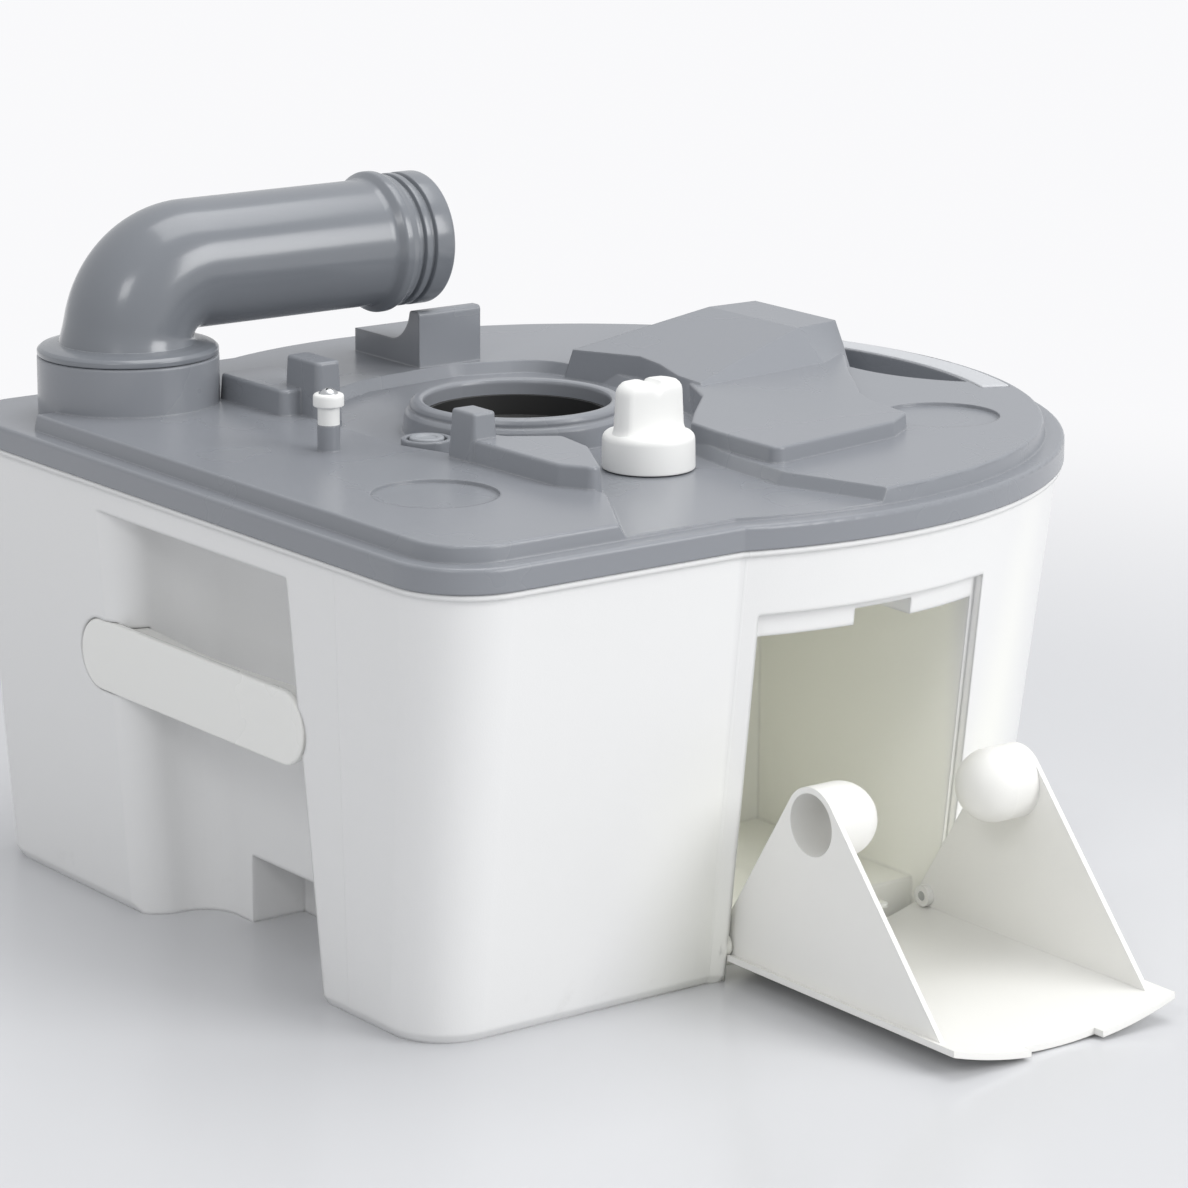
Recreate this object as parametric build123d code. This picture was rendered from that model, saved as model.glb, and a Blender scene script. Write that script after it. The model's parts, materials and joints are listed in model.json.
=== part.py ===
from build123d import *
import os
from math import sqrt, sin, cos, radians, degrees, atan

os.makedirs("parts", exist_ok=True)

# Holding tank of a portable chemical toilet, in millimetres.
# +Z is up, the rounded front faces -Y and the paper compartment faces -X.
# The origin is on the floor, at the centre of the front arc.

# Plan of the cover's flange
flange_width = 388.0
front_radius = 206.0
rear_reach = 214.0
rear_corner = 34.0

# Heights
tank_height = 188.0
flange_top = tank_height + 10.5
deck_top = tank_height + 17.3
pan_top = tank_height + 12.0
pan_corner = 8.0
pan_far_corner = 22.0
pan_slope = 30.0

# Tank walls: how far each stands inside the flange at the rim and on the floor
tank_wall = 2.8
rim_inset = 2.5
side_inset = 24.5
rear_inset = 8.0
front_inset = 24.0
foot_corner = 26.0
foot_round = 4.0
lip_reach = 1.7
lip_thickness = 2.4
gasket_width = 2.4
gasket_sink = 1.2
gasket_inset = 5.6

# Top cover
cover_wall = 3.0
cover_seat_gap = 0.3
collar_foot = tank_height + 7.5
deck_inset = 8.2
deck_draft = 1.3
corner_cut_x = 126.0
corner_cut_y = rear_reach - 64.0
block_sink = 2.0
ramp_low_z = deck_top + 8.2
ramp_high_z = deck_top + 20.2
near_post_top = deck_top + 20.4
near_block_top = deck_top + 9.3
far_post_top = deck_top + 24.2
far_block_top = deck_top + 11.2
platform_top = deck_top + 6.9
saddle_seat_z = deck_top + 10.7
saddle_stop_z = deck_top + 25.7

# Rear hand recess and the grip across it
recess_top = tank_height - 13.0
recess_back = rear_reach - 42.0
recess_near_foot = -97.0
recess_near_top = -80.0
recess_far_foot = 39.0
recess_far_top = 54.0
recess_flare = 17.0
recess_past_wall = 0.4
recess_near_round = 8.0
notch_x0 = -50.0
notch_x1 = 9.0
notch_top = 30.0
notch_depth = 26.0
grip_height = 31.0
grip_centre_z = tank_height - 76.5
grip_near_end = -88.0
grip_far_end = 84.0
grip_fit = 0.4
grip_cover_thickness = 2.8
grip_cover_face_y = rear_reach - 4.6
bar_height = 27.0
bar_thickness = 11.0
bar_wall = 2.6
bar_near_end = -90.0
bar_far_end = 66.0
bar_fit = 0.3
grip_screw_inset = 8.0
screw_shank_radius = 1.9
screw_head_radius = 3.6
screw_head_height = 2.2

# Paper compartment and its flap
door_half_width = 59.5
door_top = tank_height - 28.0
frame_depth = 4.0
room_half_width = 56.5
room_top = door_top - 10.0
room_floor = 20.0
room_back = 156.0 - front_radius
flap_gap = 0.6
flap_thickness = 2.6
flap_foot = 8.0
flap_heel_top = 20.0
hinge_x = 37.7 - front_radius
hinge_z = 16.0
cheek_thickness = 2.4
cheek_side_gap = 1.0
spindle_reach = 52.7
spindle_rise = 63.5
cheek_tip_radius = 15.5
cheek_base = 134.0
cheek_ear_radius = 5.6
dome_straight = 12.0
dome_bore = 12.9
flap_notch_width = 38.0
flap_notch_depth = 5.0
hinge_pin_radius = 2.0
hinge_pin_fit = 0.05
hinge_boss_radius = hinge_pin_radius + 3.2
hinge_boss_depth = 6.0
finger_notch_near = 13.0
finger_notch_far = -17.0
finger_notch_top = door_top - 3.0
finger_notch_depth = front_radius - 31.0

# Swivelling spout and its collar
spout_x = 129.8
spout_y = rear_reach - 58.2
collar_radius = 39.8
collar_top = deck_top + 21.1
collar_bore = 33.0
spout_radius = 28.5
spout_wall = 3.0
spout_bend = 31.0
spout_axis_z = collar_top + 36.4
spout_mouth_y = 1.0
bead_radius = 32.0
bead_centre_y = 28.5
bead_half_length = 9.5
thread_radius = 30.2
thread_root = 28.2
thread_grooves = (18.3, 12.6)
thread_groove_width = 2.2
spout_seat_gap = 0.3
spigot_fit = 0.3
spigot_foot = collar_foot - 5.0
spout_clip_half = 1.6
ring_cord = 1.75

# Valve: rim, lip seal, blade, shaft and knob
valve_y = 39.8
valve_radius = 40.5
rim_radius = 48.5
rim_step_z = pan_top + 10.0
lip_top = pan_top + 14.2
seal_radius = 36.5
sleeve_radius = 38.8
sleeve_top = pan_top + 7.5
sleeve_foot = pan_top - 1.5
blade_top = pan_top - 7.0
blade_thickness = 3.0
blade_radius = 41.5
pivot_x = -93.0
shaft_radius = 4.5
shaft_fit = 0.05
knob_radius = 19.6
knob_gap = 0.5
knob_shoulder_z = pan_top + 16.5
knob_top = pan_top + 37.5
knob_grip_length = 29.3
knob_grip_width = 15.0

# Latch stud: a flanged bush screwed to a post on the deck
stud_x = -7.0
stud_y = rear_reach - 72.3
stud_post_radius = 4.8
stud_post_top = deck_top + 11.1
stud_stem_radius = 4.6
stud_head_radius = 6.5
stud_head_bottom = deck_top + 18.7
stud_head_top = deck_top + 24.2

# Vent valve beside the opening, pressed down by the flush tank
vent_x = -17.0
vent_y = 99.0
vent_ring_radius = 11.0
vent_ring_bore = 8.6
vent_ring_top = pan_top + 7.0
vent_boss_radius = 8.0
vent_boss_foot = pan_top - 11.0
vent_well_radius = 6.2
vent_well_floor = pan_top - 6.5
vent_button_radius = 7.4
vent_button_top = pan_top + 7.6
vent_button_height = 3.2
vent_rod_radius = 2.4
vent_rod_fit = 0.08
vent_travel = 3.5
vent_spring_wire = 0.45
vent_spring_turns = 5.0

# Depressions that take the feet of the flush tank
dimple_radius = 25.9
dimple_depth = 1.5
rear_dimple = (-99.5, rear_reach - 61.7)
front_dimple = (-101.2, 92.6 - front_radius)

# Front finger pocket and its arched grip
pocket_outer = front_radius - 27.0
pocket_half = 54.0
pocket_inner_y = 56.0 - front_radius
pocket_floor = deck_top - 13.9
arch_radius = front_radius - 19.0
arch_width = 13.2
arch_half_angle = 22.0
arch_sink = 1.8
arch_rise = 0.6
arch_fit = 0.25

# Limits that lie clear of the cover, for cutting through it
below_cover = tank_height - 38.0
above_cover = tank_height + 52.0
beyond = -front_radius - 9.0


def plan_face(half_width, reach, radius, corner, z):
    """Front arc about the origin, joined to a rear part with two rounded corners."""
    join_y = sqrt(radius ** 2 - half_width ** 2)
    turn = corner * (1 - cos(radians(45)))
    right = Line((half_width, join_y), (half_width, reach - corner))
    far_corner = ThreePointArc(
        (half_width, reach - corner),
        (half_width - turn, reach - turn),
        (half_width - corner, reach),
    )
    rear = Line((half_width - corner, reach), (corner - half_width, reach))
    near_corner = ThreePointArc(
        (corner - half_width, reach),
        (turn - half_width, reach - turn),
        (-half_width, reach - corner),
    )
    left = Line((-half_width, reach - corner), (-half_width, join_y))
    front = ThreePointArc((-half_width, join_y), (0, -radius), (half_width, join_y))
    outline = Curve() + [right, far_corner, rear, near_corner, left, front]
    return Pos(0, 0, z) * make_face(outline)


def flange_face(inset, z):
    """Plan of the flange, moved inwards by inset."""
    return plan_face(
        flange_width / 2 - inset,
        rear_reach - inset,
        front_radius - inset,
        rear_corner - inset,
        z,
    )


def tank_face(inset, z):
    """Section of the tank's outer wall at height z, moved inwards by inset."""
    share = 1 - z / tank_height
    return plan_face(
        flange_width / 2 - rim_inset - (side_inset - rim_inset) * share - inset,
        rear_reach - rim_inset - (rear_inset - rim_inset) * share - inset,
        front_radius - rim_inset - (front_inset - rim_inset) * share - inset,
        rear_corner - rim_inset - (rear_corner - rim_inset - foot_corner) * share - inset,
        z,
    )


def tank_solid(inset, bottom, top):
    """Solid inside the tank's outer wall, moved inwards by inset."""
    return loft([tank_face(inset, bottom), tank_face(inset, top)], ruled=True)


def box_between(x0, x1, y0, y1, z0, z1):
    """Box from its six limits."""
    centre = Pos((x0 + x1) / 2, (y0 + y1) / 2, (z0 + z1) / 2)
    return centre * Box(abs(x1 - x0), abs(y1 - y0), abs(z1 - z0))


def rod(x, y, z0, z1, radius):
    """Upright cylinder from z0 to z1."""
    return Pos(x, y, (z0 + z1) / 2) * Cylinder(radius, z1 - z0)


def tube(x, y, z0, z1, outer, inner):
    """Upright tube from z0 to z1."""
    return rod(x, y, z0, z1, outer) - rod(x, y, z0, z1, inner)


def prism(points, z0, z1, lean=0.0, corner=0.0):
    """Polygon raised from z0 to z1, its corners rounded and its top drawn in by lean."""
    face = make_face(Polyline(*points, close=True))
    if corner:
        face = fillet(face.vertices(), corner)
    if not lean:
        return Pos(0, 0, z0) * extrude(face, z1 - z0)
    return loft([Pos(0, 0, z0) * face, Pos(0, 0, z1) * offset(face, -lean)], ruled=True)


def revolved(x, y, points):
    """Ring about an upright axis at x, y from (radius, z) points."""
    face = Plane.XZ * make_face(Polyline(*points, close=True))
    return Pos(x, y, 0) * revolve(face, Axis.Z)


# Rear hand recess
def rear_wall_y(z):
    """Where the tank's rear wall stands at height z."""
    return rear_reach - rim_inset - (rear_inset - rim_inset) * (1 - z / tank_height)


def recess_section(z, grow):
    """Section of the recess; its far side sweeps out in an S into the rear wall."""
    share = z / recess_top
    near = recess_near_foot + (recess_near_top - recess_near_foot) * share - grow
    far = recess_far_foot + (recess_far_top - recess_far_foot) * share + grow
    back = recess_back - grow
    round_in = recess_near_round + grow
    cove = rear_wall_y(z) + recess_past_wall - recess_back - recess_flare + grow
    flare = recess_flare - grow
    open_y = back + cove + flare
    past = rear_reach + 12.0
    k = 1 - cos(radians(45))
    outline = Curve() + [
        Line((near, past), (near, back + round_in)),
        ThreePointArc(
            (near, back + round_in),
            (near + round_in * k, back + round_in * k),
            (near + round_in, back),
        ),
        Line((near + round_in, back), (far - cove, back)),
        ThreePointArc(
            (far - cove, back), (far - cove * k, back + cove * k), (far, back + cove)
        ),
        ThreePointArc(
            (far, back + cove),
            (far + flare * k, open_y - flare * k),
            (far + flare, open_y),
        ),
        Line((far + flare, open_y), (far + flare, past)),
        Line((far + flare, past), (near, past)),
    ]
    return Pos(0, 0, z) * make_face(outline)


def recess_space(grow):
    """Space of the hand recess, from below the floor to its ceiling."""
    return loft([recess_section(-4.0 - grow, grow), recess_section(recess_top + grow, grow)], ruled=True)


def notch_space(grow):
    """Low notch in the recess's back wall."""
    return box_between(
        notch_x0 - grow,
        notch_x1 + grow,
        recess_back - notch_depth - grow,
        recess_back + 1.0,
        -4.0,
        notch_top + grow,
    )


# Paper compartment
def room_space(grow):
    """Space of the paper compartment behind the frame."""
    inner = box_between(
        beyond,
        room_back + grow,
        -room_half_width - grow,
        room_half_width + grow,
        room_floor - grow,
        room_top + grow,
    )
    well = box_between(
        beyond,
        hinge_x + 14.0 + grow,
        -room_half_width - grow,
        room_half_width + grow,
        -4.0,
        room_floor + 1.0,
    )
    finger_notch = box_between(
        beyond,
        grow - finger_notch_depth,
        finger_notch_far - grow,
        finger_notch_near + grow,
        room_top - 1.0,
        finger_notch_top + grow,
    )
    return inner + well + finger_notch


def door_rebate(grow):
    """Shallow rebate in the tank's wall in which the closed flap lies flush."""
    block = box_between(
        beyond, -120.0, -door_half_width - grow, door_half_width + grow, -4.0, door_top + grow
    )
    return block - tank_solid(frame_depth + grow, -5.0, tank_height)


sill_leaf = box_between(hinge_x - 7.7, hinge_x + 18.3, -25.0, 25.0, room_floor - 2.2, room_floor)


def side_rod(x, z, y0, y1, radius):
    """Cylinder along Y from y0 to y1."""
    return Pos(x, (y0 + y1) / 2, z) * Rot(90, 0, 0) * Cylinder(radius, abs(y1 - y0))


# Grip across the recess: a bar and its cover plate, both with round ends
bar_back_y = grip_cover_face_y - grip_cover_thickness - bar_thickness


def stadium(x0, x1, height, y0, y1):
    """Plate with round ends, lying along X, from y0 to y1."""
    face = Plane.XZ * SlotOverall(x1 - x0, height)
    return Pos((x0 + x1) / 2, y1, grip_centre_z) * extrude(face, y1 - y0)


def grip_seat(grow):
    """Shallow pocket in the tank's rear face for the grip's cover plate."""
    return stadium(
        grip_near_end - grip_fit - grow,
        grip_far_end + grip_fit + grow,
        grip_height + 2 * grip_fit + 2 * grow,
        grip_cover_face_y - grip_cover_thickness - grow,
        rear_reach + 12.0,
    )


def bar_seat(grow):
    """Deeper pockets in the recess's sides for the ends of the bar."""
    return stadium(
        bar_near_end - bar_fit - grow,
        bar_far_end + bar_fit + grow,
        bar_height + 2 * bar_fit + 2 * grow,
        bar_back_y - grow,
        rear_reach + 12.0,
    )


grip_screws_x = (bar_near_end + grip_screw_inset, bar_far_end - grip_screw_inset)

# Tank
tank_outer = tank_solid(0, foot_round, tank_height) + loft(
    [tank_face(foot_round * 0.6, 0), tank_face(0, foot_round)], ruled=True
)
tank_lip = extrude(flange_face(rim_inset - lip_reach, tank_height - lip_thickness), lip_thickness)
tank_cavity = tank_solid(tank_wall, tank_wall, tank_height)
tank_cavity = tank_cavity - recess_space(tank_wall) - notch_space(tank_wall)
tank_cavity = tank_cavity - grip_seat(tank_wall) - bar_seat(tank_wall)
for screw_x in grip_screws_x:
    tank_cavity = tank_cavity - side_rod(screw_x, grip_centre_z, bar_back_y - 12, bar_back_y, 4.5)
tank_cavity = tank_cavity - room_space(tank_wall) - door_rebate(tank_wall)
hinge_bosses = Part()
hinge_sockets = Part()
for side in (-1, 1):
    wall_y = side * room_half_width
    hinge_bosses += side_rod(
        hinge_x, hinge_z, wall_y, wall_y + side * hinge_boss_depth, hinge_boss_radius
    )
    hinge_sockets += side_rod(
        hinge_x,
        hinge_z,
        wall_y - side * 0.5,
        wall_y + side * (hinge_boss_depth - 1.5),
        hinge_pin_radius + hinge_pin_fit,
    )
tank_body = tank_outer + tank_lip
tank_body = tank_body - recess_space(0) - notch_space(0) - room_space(0) - door_rebate(0)
tank_body = tank_body - grip_seat(0) - bar_seat(0) - tank_cavity
for screw_x in grip_screws_x:
    tank_body = tank_body - side_rod(
        screw_x, grip_centre_z, bar_back_y - 9, bar_back_y + 1, screw_shank_radius
    )
tank_body = tank_body + sill_leaf + hinge_bosses - hinge_sockets

# Rubber ring in a groove of the tank's lip
gasket_band = flange_face(gasket_inset, 0) - flange_face(gasket_inset + gasket_width, 0)
gasket_groove = Pos(0, 0, tank_height - gasket_sink) * extrude(gasket_band, 5.0)
rim_ledge = flange_face(rim_inset + 0.2, 0) - flange_face(rim_inset + 8.5, 0)
rim_ledge = Pos(0, 0, tank_height - lip_thickness) * extrude(rim_ledge, lip_thickness)
rim_ledge = rim_ledge - recess_space(0)
tank_body = tank_body + rim_ledge - gasket_groove
cover_gasket = Pos(0, 0, tank_height - gasket_sink) * extrude(
    gasket_band, gasket_sink + cover_seat_gap
)

# Heights shared by the cover's features
cover_bottom = tank_height + cover_seat_gap
pan_under = pan_top - cover_wall
deck_under = deck_top - cover_wall

# Lower pan of the deck, round the valve and open to the near side
pan_points = [
    (-215, 140.5),
    (-140, 94),
    (-126, 93.5),
    (-46, 100),
    (-16, 109),
    (50, 109),
    (80, 96),
    (105, 45),
    (111, -6),
    (98, -44),
    (62, -50),
    (-4, -48),
    (-36, -31),
    (-60, -8),
    (-80, 8),
    (-112, 14),
    (-150, 17),
    (-215, -5),
]


def pan_outline():
    """Floor of the pan, its corners rounded, most widely on the far side."""
    face = make_face(Polyline(*pan_points, close=True))
    face = fillet(face.vertices().filter_by(lambda v: v.X > 79), pan_far_corner)
    near_corners = face.vertices().filter_by(lambda v: -151 < v.X < 64)
    return fillet(near_corners, pan_corner)


def pan_space(grow):
    """Space above the pan's floor, moved outwards by grow; its walls slope."""
    face = pan_outline()
    if grow:
        face = offset(face, grow)
    return Pos(0, 0, pan_top - grow) * extrude(face, 12, taper=-pan_slope)


def rounded_block(points, top, lean, corner, edge):
    """Block on the deck with rounded corners and a rounded top edge."""
    block = prism(points, pan_top - block_sink, top, lean, corner)
    top_edges = block.faces().sort_by(Axis.Z)[-1].edges()
    return fillet(top_edges, edge)


# Blocks on the deck that locate the flush tank
near_post_points = [(-64, 93.5), (-44, 93.5), (-44, 109), (-64, 109)]
near_post = rounded_block(near_post_points, near_post_top, 2.2, 3.5, 1.2)
near_block_points = [
    (-45, 90),
    (-45, 108.5),
    (-118, 106.5),
    (-137, 95),
    (-98, 73),
    (-74, 69),
    (-60, 90),
]
near_block = rounded_block(near_block_points, near_block_top, 1.6, 5, 1.4)
far_post_points = [(47, 97), (75, 97), (75, 112), (47, 112)]
far_post = rounded_block(far_post_points, far_post_top, 1.4, 4, 1.4)
far_block_points = [(59, 91), (113, 91), (113, 122), (59, 122)]
far_block = rounded_block(far_block_points, far_block_top, 1.4, 5, 1.4)

# Saddle under the spout: a low seat that curves up to a tall stop
saddle_side = Curve() + [
    Polyline(
        (166, saddle_seat_z),
        (166, pan_top),
        (114, pan_top),
        (114, saddle_stop_z),
        (121.5, saddle_stop_z),
    ),
    ThreePointArc(
        (121.5, saddle_stop_z), (127.4, saddle_seat_z + 3.6), (140, saddle_seat_z)
    ),
    Line((140, saddle_seat_z), (166, saddle_seat_z)),
]
saddle_block = Pos(0, 12, 0) * extrude(Plane.XZ * make_face(saddle_side), 34)
stop_edges = saddle_block.edges().filter_by(Axis.Y).sort_by(Axis.Z)[-2:]
saddle_block = fillet(stop_edges, 2.0)

# Low platform and the ramp block that stands on it
platform_points = [
    (5, -150),
    (-29, -124),
    (-53, -108),
    (-70, -96),
    (-87, -89),
    (-114, -85),
    (-126, -67),
    (-139, 9),
    (-99, 8.5),
    (-76, 6),
    (-60, -8),
    (-34, -33),
    (20, -60),
]
low_platform = rounded_block(platform_points, platform_top, 1.5, 6, 1.2)
ramp_foot_points = [
    (79, -44),
    (40, -55),
    (20, -52),
    (-9, -43),
    (-39, -34),
    (-27, -124),
    (2, -152),
    (79, -152),
]
ramp_head_points = [
    (74, -50),
    (40, -59),
    (23, -57),
    (10, -54),
    (4, -60),
    (9, -123),
    (13, -149),
    (72, -150),
]
ramp_foot = Pos(0, 0, pan_top) * make_face(Polyline(*ramp_foot_points, close=True))
ramp_head = Pos(0, 0, ramp_high_z + 0.5) * make_face(Polyline(*ramp_head_points, close=True))
ramp_block = loft([ramp_foot, ramp_head], ruled=True)
ramp_cut_points = [
    (0, ramp_low_z - 6.5),
    (-49, ramp_low_z),
    (-123, ramp_high_z),
    (-160, ramp_high_z),
    (-160, above_cover),
    (0, above_cover),
]
ramp_cut = Plane.YZ * make_face(Polyline(*ramp_cut_points, close=True))
ramp_block = ramp_block - Pos(-60, 0, 0) * extrude(ramp_cut, 160)

# Cover shell
flange_block = extrude(flange_face(0, cover_bottom), flange_top - cover_bottom)
flange_edges = flange_block.faces().sort_by(Axis.Z)[-1].edges()
flange_block = fillet(flange_edges, 1.8)
deck_block = loft(
    [flange_face(deck_inset, flange_top - 0.5), flange_face(deck_inset + deck_draft, deck_top)],
    ruled=True,
)
deck_edges = deck_block.faces().sort_by(Axis.Z)[-1].edges()
deck_block = fillet(deck_edges, 1.4)
corner_cut = box_between(
    corner_cut_x, flange_width / 2 + 6, corner_cut_y, rear_reach + 6, flange_top, above_cover
)
deck_block = deck_block - corner_cut - pan_space(0)
collar = rod(spout_x, spout_y, collar_foot, collar_top, collar_radius)
collar_edge = collar.faces().sort_by(Axis.Z)[-1].edges()
collar = chamfer(collar_edge, 0.7)

seal_groove_z = pan_top - 2.9

valve_rim = revolved(
    0,
    valve_y,
    [
        (valve_radius, pan_under),
        (rim_radius + 1.0, pan_under),
        (rim_radius + 1.0, pan_top),
        (rim_radius, rim_step_z - 1.5),
        (rim_radius - 1.2, rim_step_z),
        (valve_radius + 5.6, rim_step_z + 0.5),
        (valve_radius + 5.9, lip_top - 2.4),
        (valve_radius + 5.3, lip_top - 0.9),
        (valve_radius + 4.0, lip_top),
        (valve_radius + 1.6, lip_top),
        (valve_radius + 0.4, lip_top - 0.5),
        (valve_radius, lip_top - 1.6),
    ],
)
knob_boss = rod(pivot_x, valve_y, blade_top + 1.5, pan_top, shaft_radius + 5)
stud_post = rod(stud_x, stud_y, deck_under - 8, stud_post_top, stud_post_radius)
vent_boss = rod(vent_x, vent_y, vent_boss_foot, pan_top, vent_boss_radius)
vent_ring = tube(vent_x, vent_y, pan_under, vent_ring_top, vent_ring_radius, vent_ring_bore)
vent_edges = vent_ring.faces().sort_by(Axis.Z)[-1].edges()
vent_ring = fillet(vent_edges, 0.7)

under_flange = extrude(flange_face(deck_inset + 4.0, cover_bottom), flange_top - cover_bottom)
under_deck = Pos(0, 0, flange_top - 4) * extrude(
    flange_face(deck_inset + 4.5, 0), deck_under - flange_top + 4
)
under_pan = box_between(-230, 230, -230, 230, pan_under, deck_top) & pan_space(cover_wall)
under_corner = box_between(
    corner_cut_x - cover_wall,
    flange_width / 2 + 6,
    corner_cut_y - cover_wall,
    rear_reach + 6,
    collar_foot,
    deck_top,
)
under_space = under_flange + under_deck - under_pan - under_corner

blocks = near_post + near_block + far_post + far_block + saddle_block + low_platform + ramp_block
ramp_hollow = prism([(70, -58), (22, -58), (22, -144), (70, -144)], deck_under - 1, ramp_low_z - 3.0)
top_cover = flange_block + deck_block - under_space
top_cover = top_cover + blocks + collar + valve_rim + knob_boss + stud_post + vent_boss + vent_ring
top_cover = top_cover - ramp_hollow
top_cover = top_cover - rod(spout_x, spout_y, below_cover, above_cover, collar_bore)
top_cover = top_cover - rod(0, valve_y, below_cover, above_cover, valve_radius)
top_cover = top_cover - rod(pivot_x, valve_y, below_cover, above_cover, shaft_radius + shaft_fit)
top_cover = top_cover - tube(
    pivot_x, valve_y, seal_groove_z - 1.1, seal_groove_z + 1.1, shaft_radius + 2.1, shaft_radius - 1
)
top_cover = top_cover - rod(stud_x, stud_y, pan_top, above_cover, screw_shank_radius)
top_cover = top_cover - rod(vent_x, vent_y, below_cover, above_cover, vent_rod_radius + vent_rod_fit)
top_cover = top_cover - rod(vent_x, vent_y, vent_well_floor, above_cover, vent_well_radius)
for dimple in (rear_dimple, front_dimple):
    top_cover = top_cover - rod(*dimple, deck_top - dimple_depth, above_cover, dimple_radius)

# Front finger pocket
pocket_y = -sqrt(pocket_outer ** 2 - pocket_half ** 2)


def pocket_face(grow):
    """Lens between the outer arc and a flatter inner arc."""
    ends = pocket_half + grow
    arc_y = -sqrt((pocket_outer + grow) ** 2 - ends ** 2)
    return make_face(
        Curve()
        + [
            ThreePointArc((-ends, arc_y), (0, -pocket_outer - grow), (ends, arc_y)),
            ThreePointArc((ends, arc_y), (0, pocket_inner_y + grow), (-ends, arc_y)),
        ]
    )


pocket_cup = Pos(0, 0, pocket_floor - 2.2) * extrude(pocket_face(2.4), deck_top - pocket_floor)
pocket_hole = Pos(0, 0, pocket_floor) * extrude(pocket_face(0), 30)
top_cover = top_cover + pocket_cup - pocket_hole

# Arched grip that lies in a shallow channel outside the pocket


def arch_solid(grow, z0, z1):
    """Arched bar about the origin, from z0 to z1."""
    outer = rod(0, 0, z0, z1, arch_radius + arch_width / 2 + grow)
    inner = rod(0, 0, z0, z1, arch_radius - arch_width / 2 - grow)
    reach = 260.0
    span = arch_half_angle + degrees(grow / arch_radius)
    wedge = prism(
        [
            (0, 0),
            (-reach * sin(radians(span)), -reach * cos(radians(span))),
            (reach * sin(radians(span)), -reach * cos(radians(span))),
        ],
        z0,
        z1,
    )
    return (outer - inner) & wedge


front_grip = arch_solid(0, deck_top - arch_sink, deck_top + arch_rise)
top_cover = top_cover - arch_solid(arch_fit, deck_top - arch_sink, above_cover)

# Grip pieces
grip_bar = stadium(
    bar_near_end, bar_far_end, bar_height, bar_back_y, bar_back_y + bar_thickness
)
bar_hollow = stadium(
    bar_near_end + 2 * grip_screw_inset,
    bar_far_end - 2 * grip_screw_inset,
    bar_height - 2 * bar_wall,
    bar_back_y + bar_wall,
    bar_back_y + bar_thickness + 1,
)
grip_bar = grip_bar - bar_hollow
grip_screws = Part()
for screw_x in grip_screws_x:
    seat_y = bar_back_y + bar_thickness - screw_head_height - 0.4
    grip_bar = grip_bar - side_rod(
        screw_x, grip_centre_z, bar_back_y - 1, seat_y + 9, screw_shank_radius + 0.2
    )
    grip_bar = grip_bar - side_rod(
        screw_x, grip_centre_z, seat_y, seat_y + 9, screw_head_radius + 0.3
    )
    screw = side_rod(screw_x, grip_centre_z, bar_back_y - 8, seat_y + 0.5, screw_shank_radius)
    screw += side_rod(screw_x, grip_centre_z, seat_y, seat_y + screw_head_height, screw_head_radius)
    grip_screws += screw
grip_cover = stadium(
    grip_near_end,
    grip_far_end,
    grip_height,
    grip_cover_face_y - grip_cover_thickness,
    grip_cover_face_y,
)
cover_edges = grip_cover.faces().sort_by(Axis.Y)[-1].edges()
grip_cover = fillet(cover_edges, 0.9)

# Paper flap, made closed in the tank's wall and then dropped open
wall_lean = degrees(atan((front_inset - rim_inset) / tank_height))
flap_swing = 90 - wall_lean
flap_tray = tank_solid(0, 0, tank_height) - tank_solid(flap_thickness, -1, tank_height + 1)
flap_tray = flap_tray & box_between(
    beyond,
    -120.0,
    flap_gap - door_half_width,
    door_half_width - flap_gap,
    flap_foot,
    door_top - flap_gap,
)
flap_tray = flap_tray - box_between(
    beyond,
    -120.0,
    -flap_notch_width / 2,
    flap_notch_width / 2,
    door_top - flap_gap - flap_notch_depth,
    door_top + 5,
)
for side in (-1, 1):
    heel_y = side * (room_half_width - cheek_side_gap)
    flap_tray = flap_tray - box_between(beyond, hinge_x + 48.3, heel_y, side * 70.0, 0, flap_heel_top)
at_hinge = Pos(hinge_x, 0, hinge_z)
flap = at_hinge * Rot(0, -flap_swing, 0) * at_hinge.inverse() * flap_tray

cheek_outer_y = room_half_width - cheek_side_gap
tray_sag = front_radius - front_inset
tray_sag = tray_sag - sqrt(tray_sag ** 2 - cheek_outer_y ** 2)
wall_reach_at_hinge = front_radius - front_inset + (front_inset - rim_inset) * hinge_z / tank_height
hinge_drop = -hinge_x - wall_reach_at_hinge
tray_low_z = hinge_z + hinge_drop * cos(radians(wall_lean))
cheek_base_z = tray_low_z + tray_sag + 0.8
tip_x = hinge_x - spindle_reach
tip_z = hinge_z + spindle_rise


def cheek_plate():
    """Upright triangle with a round tip and a round ear at the hinge."""
    tip = Pos(tip_x, tip_z) * Circle(cheek_tip_radius)
    ear = Pos(hinge_x, hinge_z) * Rot(0, 0, 180) * Circle(cheek_ear_radius)
    base = Line((hinge_x - cheek_base, cheek_base_z), (hinge_x - 4, cheek_base_z))
    face = make_hull([*tip.edges(), *ear.edges(), base])
    return Plane.XZ * face


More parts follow.
